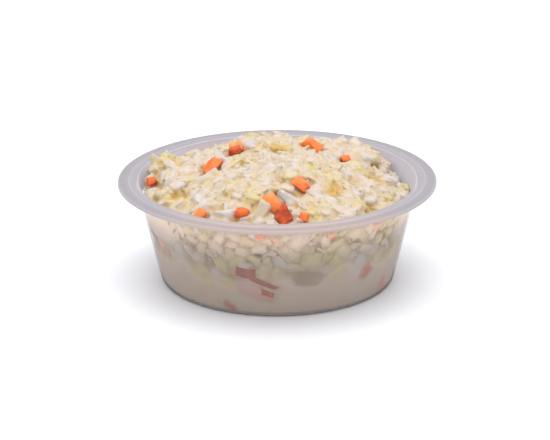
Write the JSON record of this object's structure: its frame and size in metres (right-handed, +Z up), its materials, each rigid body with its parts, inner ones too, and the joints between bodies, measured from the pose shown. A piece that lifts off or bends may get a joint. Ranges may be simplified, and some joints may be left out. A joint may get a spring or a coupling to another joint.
{
  "type": "coleslaw",
  "caption": "Creamy chopped coleslaw with bits of carrot, heaped in a round translucent plastic portion cup with a flat rim.",
  "frame": {"origin": "middle of the cup's foot, on the surface that it stands on", "axes": "+Z up along the cup's axis, -Y towards the side shown"},
  "size_m": [0.1, 0.1, 0.0439],
  "materials": {
    "cup_plastic": "translucent, satin gloss",
    "coleslaw": "moist, creamy"
  },
  "bodies": {
    "root": {"cup": "cup_plastic", "coleslaw": "coleslaw"}
  },
  "joints": []
}
